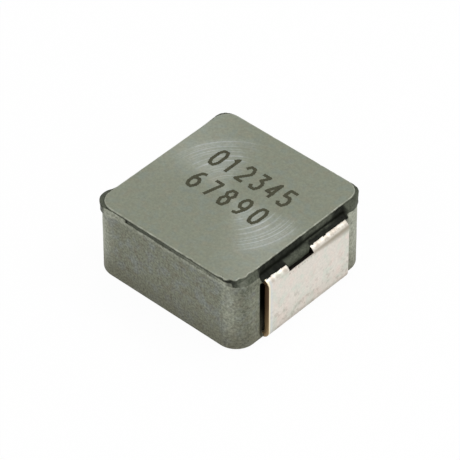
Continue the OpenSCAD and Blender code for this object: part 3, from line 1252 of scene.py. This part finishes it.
@dataclass
class TerminalStrip:
    """A folded copper strip with a window punched through its upper bend."""

    outline: Outline
    end: End
    finish: TinnedCopper
    thickness: float = 0.38
    anchor: float = 2.1
    upper_bend: float = 0.6
    lower_bend: float = 0.7
    foot_length: float = 2.9
    window_width: float = 2.4
    window_offset: float = -0.75
    window_angle: float = 70.0
    column: float = 0.16
    shortest_step: float = 0.02
    arc_pieces: int = 18
    edge_break: float = 0.035

    def midline(self) -> tuple[np.ndarray, float, float]:
        """Return the strip's middle line in X and Z, from its held end to its foot.

        Returns:
            Points of shape (count, 2), and the lengths along the line at which the
            window starts and ends.
        """
        half = self.thickness / 2
        out_x = self.outline.strip_high.x
        lead = self.outline.strip_high.z
        upper = np.array([out_x - self.upper_bend, lead - self.upper_bend])
        lower = np.array([out_x - self.lower_bend, self.lower_bend])
        anchor_x = self.outline.block_high.x - self.anchor
        line: list[np.ndarray] = []

        def straight(start: np.ndarray, stop: np.ndarray, pieces: int) -> None:
            line.extend(start + (stop - start) * i / pieces for i in range(pieces))

        def arc(centre: np.ndarray, radius: float, start: float, stop: float) -> None:
            for i in range(self.arc_pieces):
                a = math.radians(start + (stop - start) * i / self.arc_pieces)
                line.append(centre + radius * np.array([math.cos(a), math.sin(a)]))

        radius = self.upper_bend - half
        top = upper + np.array([0.0, radius])
        straight(np.array([anchor_x, lead - half]), top, 16)
        first_arc = len(line)
        arc(upper, radius, 90, 0)
        side = upper + np.array([radius, 0.0])
        low_radius = self.lower_bend - half
        straight(side, lower + np.array([low_radius, 0.0]), 22)
        arc(lower, low_radius, 0, -90)
        foot_x = out_x - self.foot_length
        straight(lower + np.array([0.0, -low_radius]), np.array([foot_x, half]), 14)
        line.append(np.array([foot_x, half]))
        points = np.array(line)
        window_start = self.anchor / 2
        window_end = lengths_along(points)[first_arc] + radius * math.radians(self.window_angle)
        return points, window_start, window_end

    def build(self) -> bpy.types.Object:
        """Build the strip's middle surface as one sheet, with the window left open.

        Returns:
            The strip's object.
        """
        line, start, end = self.midline()
        lengths = lengths_along(line)
        stations = np.unique(np.concatenate([lengths, [start, end]]))
        keep = [0]
        for i in range(1, len(stations)):
            far = stations[i] - stations[keep[-1]] > self.shortest_step
            if far or stations[i] in (start, end):
                keep.append(i)
        stations = stations[keep]
        xs = np.interp(stations, lengths, line[:, 0])
        zs = np.interp(stations, lengths, line[:, 1])
        low_y, high_y = self.outline.strip_low.y, self.outline.strip_high.y
        middle = (low_y + high_y) / 2 + self.window_offset
        window_low, window_high = middle - self.window_width / 2, middle + self.window_width / 2
        marks = [low_y, window_low, window_high, high_y]
        columns = [low_y]
        for a, b in zip(marks, marks[1:]):
            pieces = max(2, round((b - a) / self.column))
            columns.extend(a + (b - a) * i / pieces for i in range(1, pieces + 1))
        mesh_builder = bmesh.new()
        grid = [[mesh_builder.verts.new((x * MM, y * MM, z * MM)) for y in columns]
                for x, z in zip(xs, zs)]
        for i in range(len(stations) - 1):
            along = (stations[i] + stations[i + 1]) / 2
            for j in range(len(columns) - 1):
                across = (columns[j] + columns[j + 1]) / 2
                if start < along < end and window_low < across < window_high:
                    continue
                mesh_builder.faces.new((grid[i][j], grid[i + 1][j],
                                        grid[i + 1][j + 1], grid[i][j + 1]))
        loose = [v for v in mesh_builder.verts if not v.link_faces]
        bmesh.ops.delete(mesh_builder, geom=loose, context="VERTS")
        mesh = bpy.data.meshes.new(f"strip_{self.end.name.lower()}")
        mesh_builder.to_mesh(mesh)
        mesh_builder.free()
        return new_object(mesh.name, mesh)

    def dress(self, strip: bpy.types.Object, effects: Effects) -> None:
        """Thicken the sheet, round its edges and give it tin and bare copper."""
        strip.data.materials.append(self.finish.make(effects))
        strip.data.materials.append(self.finish.make_cut(effects))
        solid = strip.modifiers.new("thickness", "SOLIDIFY")
        solid.thickness = self.thickness * MM
        solid.offset = 0.0
        solid.use_even_offset = True
        solid.material_offset_rim = 1
        bevel = strip.modifiers.new("edges", "BEVEL")
        bevel.width = self.edge_break * MM
        bevel.segments = 2
        bevel.limit_method = "ANGLE"
        bevel.angle_limit = math.radians(50)
        apply_modifiers(strip)
        if self.end is End.LEFT:
            strip.data.transform(Matrix.Rotation(math.pi, 4, "Z"))
        strip.data.shade_smooth()


def apply_modifiers(piece: bpy.types.Object) -> None:
    """Replace a piece's mesh by the one that its modifiers give."""
    graph = bpy.context.evaluated_depsgraph_get()
    mesh = bpy.data.meshes.new_from_object(piece.evaluated_get(graph))
    piece.modifiers.clear()
    piece.data = mesh


# ---- The marking ---------------------------------------------------------------------


STROKES: dict[str, list[list[tuple[float, float]]]] = {
    "0": [[(0, 0.25), (0, 0.75), (0.25, 1), (0.75, 1), (1, 0.75), (1, 0.25),
           (0.75, 0), (0.25, 0), (0, 0.25)]],
    "1": [[(0.15, 0.8), (0.5, 1), (0.5, 0)]],
    "2": [[(0, 0.78), (0.25, 1), (0.75, 1), (1, 0.78), (1, 0.6), (0, 0), (1, 0)]],
    "3": [[(0, 1), (1, 1), (0.45, 0.6), (0.8, 0.58), (1, 0.42), (1, 0.2), (0.75, 0),
           (0.25, 0), (0, 0.18)]],
    "4": [[(0.75, 0), (0.75, 1), (0, 0.3), (1, 0.3)]],
    "5": [[(1, 1), (0.05, 1), (0, 0.58), (0.7, 0.6), (1, 0.4), (1, 0.2), (0.75, 0),
           (0.25, 0), (0, 0.15)]],
    "6": [[(0.9, 1), (0.4, 0.95), (0, 0.55), (0, 0.2), (0.25, 0), (0.75, 0), (1, 0.2),
           (1, 0.4), (0.75, 0.58), (0.25, 0.58), (0, 0.45)]],
    "7": [[(0, 1), (1, 1), (0.4, 0)]],
    "8": [[(0.25, 0.55), (0, 0.75), (0.25, 1), (0.75, 1), (1, 0.75), (0.75, 0.55),
           (0.25, 0.55), (0, 0.3), (0.25, 0), (0.75, 0), (1, 0.3), (0.75, 0.55)]],
    "9": [[(1, 0.55), (0.75, 0.42), (0.25, 0.42), (0, 0.6), (0, 0.8), (0.25, 1),
           (0.75, 1), (1, 0.8), (1, 0.45), (0.6, 0.05), (0.1, 0)]],
}


@dataclass
class MarkingRow:
    """One row of plain digits, drawn as rows of laser dots on the top face."""

    outline: Outline
    digits: str
    start_x: float
    line_y: float
    pitch: float
    height: float = 1.55
    width: float = 0.64
    stroke: float = 0.29
    joint: float = 0.045
    lift: float = 0.004
    rise: float = 0.00008

    def build(self, index: int) -> bpy.types.Object:
        """Build the row as ribbons with slightly dotted edges.

        Args:
            index: Number of the row, used in its name.

        Returns:
            The row's object.
        """
        builder = bmesh.new()
        for place, digit in enumerate(self.digits):
            left = self.start_x + place * self.pitch
            for stroke in STROKES[digit]:
                path = [np.array([left + x * self.width,
                                  self.line_y + (y - 0.5) * self.height])
                        for x, y in stroke]
                self.ribbon(builder, path)
        mesh = bpy.data.meshes.new(f"marking_row_{index}")
        builder.to_mesh(mesh)
        builder.free()
        return new_object(mesh.name, mesh)

    def ribbon(self, builder: bmesh.types.BMesh, path: list[np.ndarray]) -> None:
        """Add one stroke along a path as a ribbon of even joints.

        Each joint lies a hair higher than the one before, so crossing parts never meet.

        Args:
            builder: The row's mesh.
            path: The stroke's corners, in millimetres.
        """
        dense: list[np.ndarray] = []
        for a, b in zip(path, path[1:]):
            pieces = max(1, round(float(np.linalg.norm(b - a)) / self.joint))
            dense.extend(a + (b - a) * i / pieces for i in range(pieces))
        dense.append(path[-1])
        closed = np.allclose(path[0], path[-1])
        sides: list[tuple[bmesh.types.BMVert, bmesh.types.BMVert]] = []
        last = len(dense) - 1
        for i, point in enumerate(dense):
            before = dense[i - 1] if i else (dense[last - 1] if closed else point)
            after = dense[i + 1] if i < last else (dense[1] if closed else point)
            way = unit(unit(point - before) + unit(after - point))
            side = np.array([-way[1], way[0]])
            dot = 0.88 + 0.12 * math.sin(i * math.pi * 0.5 + 0.6)
            wide = self.stroke / 2 * dot
            height = self.outline.top + self.lift + self.rise * i
            pair = []
            for sign in (1, -1):
                spot = point + sign * wide * side
                pair.append(builder.verts.new((spot[0] * MM, spot[1] * MM, height * MM)))
            sides.append((pair[0], pair[1]))
        for a, b in zip(sides, sides[1:]):
            builder.faces.new((a[0], a[1], b[1], b[0]))

    def dress(self, row: bpy.types.Object, material: bpy.types.Material) -> None:
        """Give the row the scorched finish."""
        row.data.materials.append(material)


# ---- Studio --------------------------------------------------------------------------


@dataclass(frozen=True)
class Lamp:
    """A soft square lamp that looks at the part.

    The azimuth is in degrees round the part, with 0 on the -Y side, and the elevation
    in degrees above the board. Lengths are in millimetres, the power is in watts.
    """

    name: str
    azimuth: float
    elevation: float
    size: float
    power: float
    distance: float = 420.0

    def build(self) -> None:
        """Add the lamp to the scene."""
        way = direction(self.azimuth, self.elevation)
        data = bpy.data.lights.new(self.name, "AREA")
        data.energy = self.power
        data.size = self.size * MM
        lamp = new_object(self.name, data)
        lamp.location = way * self.distance * MM
        lamp.rotation_euler = way.to_track_quat("Z", "Y").to_euler()


@dataclass(frozen=True)
class Studio:
    """Camera, lamps, plain world and pale floor."""

    azimuth: float = 42.4935
    elevation: float = 42.3224
    roll: float = -0.11145
    distance: float = 215.838
    shift_right: float = -0.0016
    shift_up: float = -2.1466
    focus_height: float = 0.1
    lens: float = 248.34
    ambient: float = 0.55
    floor_half: float = 400.0
    floor_glow: float = 0.96
    lamps: tuple[Lamp, ...] = (
        Lamp("key", 130.0, 55.0, 220.0, 0.55),
        Lamp("fill", -30.0, 35.0, 260.0, 0.3),
        Lamp("end", 80.0, 20.0, 260.0, 0.3),
        Lamp("sheen", 210.0, 61.0, 90.0, 0.2),
    )

    def camera(self) -> None:
        """Place the camera and make it the scene's own."""
        a, r = math.radians(self.azimuth), math.radians(self.roll)
        back = direction(self.azimuth, self.elevation)
        right = Vector((math.cos(a), math.sin(a), 0.0))
        up = back.cross(right)
        place = back * self.distance
        x_axis = right * math.cos(r) + up * math.sin(r)
        y_axis = up * math.cos(r) - right * math.sin(r)
        place = place - x_axis * self.shift_right - y_axis * self.shift_up
        place.z += self.focus_height
        data = bpy.data.cameras.new("camera")
        data.lens = self.lens
        data.sensor_width = 36.0
        data.clip_start = 1.0 * MM
        camera = new_object("camera", data)
        turn = Matrix((x_axis, y_axis, back)).transposed().to_4x4()
        camera.matrix_world = Matrix.Translation(place * MM) @ turn
        bpy.context.scene.camera = camera

    def world(self) -> None:
        """Light the part evenly and show plain white behind it."""
        world = bpy.data.worlds.new("plain_world")
        bpy.context.scene.world = world
        graph = Graph.of(world)
        out = graph.add("ShaderNodeOutputWorld")
        even = graph.add("ShaderNodeBackground")
        even.inputs["Strength"].default_value = self.ambient
        even.inputs["Color"].default_value = (1, 1, 1, 1)
        white = graph.add("ShaderNodeBackground")
        white.inputs["Color"].default_value = (1, 1, 1, 1)
        graph.put(out.inputs["Surface"], graph.mix_shaders(self.seen(graph), even, white))

    def seen(self, graph: Graph) -> bpy.types.NodeSocket:
        """Return 1 for rays that show the background, straight or in a reflection."""
        path = graph.add("ShaderNodeLightPath")
        shown = graph.maths("MAXIMUM", path.outputs["Is Camera Ray"],
                            path.outputs["Is Glossy Ray"])
        return graph.maths("MAXIMUM", shown, path.outputs["Is Transmission Ray"])

    def floor(self) -> None:
        """Lay a pale floor that shows white, with only a faint shadow."""
        half = self.floor_half
        mesh = bpy.data.meshes.new("floor")
        corners = [(-half, -half, 0), (half, -half, 0), (half, half, 0), (-half, half, 0)]
        mesh.from_pydata([(x * MM, y * MM, z) for x, y, z in corners], [], [(0, 1, 2, 3)])
        material = bpy.data.materials.new("pale_floor")
        graph = Graph.of(material)
        out = graph.add("ShaderNodeOutputMaterial")
        paint = graph.add("ShaderNodeBsdfDiffuse")
        paint.inputs["Color"].default_value = (0.9, 0.9, 0.9, 1)
        glow = graph.add("ShaderNodeEmission")
        glow.inputs["Color"].default_value = (1, 1, 1, 1)
        share = graph.maths("MULTIPLY", self.seen(graph), self.floor_glow)
        graph.put(out.inputs["Surface"], graph.mix_shaders(share, paint, glow))
        mesh.materials.append(material)
        floor = new_object("floor", mesh)

    def build(self) -> None:
        """Set up the whole studio."""
        self.camera()
        self.world()
        self.floor()
        for lamp in self.lamps:
            lamp.build()
        bpy.context.scene.view_settings.view_transform = "Standard"


# ---- Assembly ------------------------------------------------------------------------


def main() -> None:
    """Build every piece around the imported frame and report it."""
    logging.basicConfig(level=logging.INFO, format="%(name)s: %(message)s")
    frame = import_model()
    outline = Outline.from_frame()
    effects = Effects()

    powder = PowderBlock(outline, PressedPowder("pressed_powder"))
    block = powder.build()
    powder.dress(block, effects)
    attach(block, "root")
    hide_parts("moulded_body")
    LOG.info("%s: %d faces", block.name, len(block.data.polygons))

    tin = TinnedCopper("tinned_copper")
    for end in End:
        maker = TerminalStrip(outline, end, tin)
        strip = maker.build()
        maker.dress(strip, effects)
        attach(strip, "root")
        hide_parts(f"terminal_{end.name.lower()}")
        LOG.info("%s: %d faces", strip.name, len(strip.data.polygons))

    coil = frame["nodes"]["coil"]
    coil.data.materials.clear()
    coil.data.materials.append(ENAMELLED_COPPER.make(effects))

    scorched = LASER_MARK.make(effects)
    rows = (MarkingRow(outline, "012345", -3.39, 2.27, 1.23),
            MarkingRow(outline, "67890", -3.02, -0.33, 1.38))
    for index, row in enumerate(rows, start=1):
        piece = row.build(index)
        row.dress(piece, scorched)
        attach(piece, "root")
        LOG.info("%s: %d faces", piece.name, len(piece.data.polygons))

    Studio().build()


if __name__ == "__main__":
    main()
